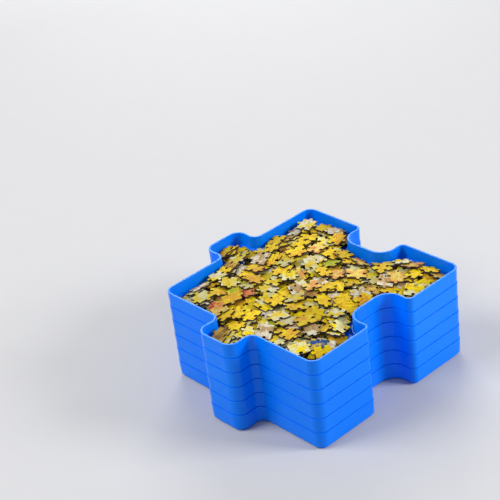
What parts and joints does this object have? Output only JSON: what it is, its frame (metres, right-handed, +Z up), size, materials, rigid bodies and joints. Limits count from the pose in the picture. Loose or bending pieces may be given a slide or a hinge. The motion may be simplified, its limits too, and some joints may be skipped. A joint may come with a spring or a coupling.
{
  "type": "puzzle sorting tray stack",
  "caption": "Stack of jigsaw-shaped plastic sorting trays with side tabs and sockets that join tray to tray, each holding loose jigsaw pieces and lifting off the tray below.",
  "frame": {"origin": "middle of the bottom tray's square body, on its underside", "axes": "+Z up; the tabs point along -X and -Y and the sockets open towards +X and +Y"},
  "size_m": [0.18, 0.18, 0.077],
  "materials": {
    "tray_plastic": "moulded, satin gloss",
    "printed_card": "printed card with a soft sheen"
  },
  "bodies": {
    "tray_1": {"tray_1": "tray_plastic", "jigsaw_pieces_1": "printed_card"},
    "tray_2": {"tray_2": "tray_plastic", "jigsaw_pieces_2": "printed_card"},
    "tray_3": {"tray_3": "tray_plastic", "jigsaw_pieces_3": "printed_card"},
    "tray_4": {"tray_4": "tray_plastic", "jigsaw_pieces_4": "printed_card"},
    "tray_5": {"tray_5": "tray_plastic", "jigsaw_pieces_5": "printed_card"},
    "tray_6": {"tray_6": "tray_plastic", "jigsaw_pieces_6": "printed_card", "loose_top_pieces": "printed_card"}
  },
  "joints": [
    {"name": "tray_2_lift", "type": "slide", "parent": "tray_1", "child": "tray_2", "axis": [0, 0, 1], "range_m": [0, 0.04]},
    {"name": "tray_3_lift", "type": "slide", "parent": "tray_2", "child": "tray_3", "axis": [0, 0, 1], "range_m": [0, 0.04]},
    {"name": "tray_4_lift", "type": "slide", "parent": "tray_3", "child": "tray_4", "axis": [0, 0, 1], "range_m": [0, 0.04]},
    {"name": "tray_5_lift", "type": "slide", "parent": "tray_4", "child": "tray_5", "axis": [0, 0, 1], "range_m": [0, 0.04]},
    {"name": "tray_6_lift", "type": "slide", "parent": "tray_5", "child": "tray_6", "axis": [0, 0, 1], "range_m": [0, 0.04]}
  ]
}
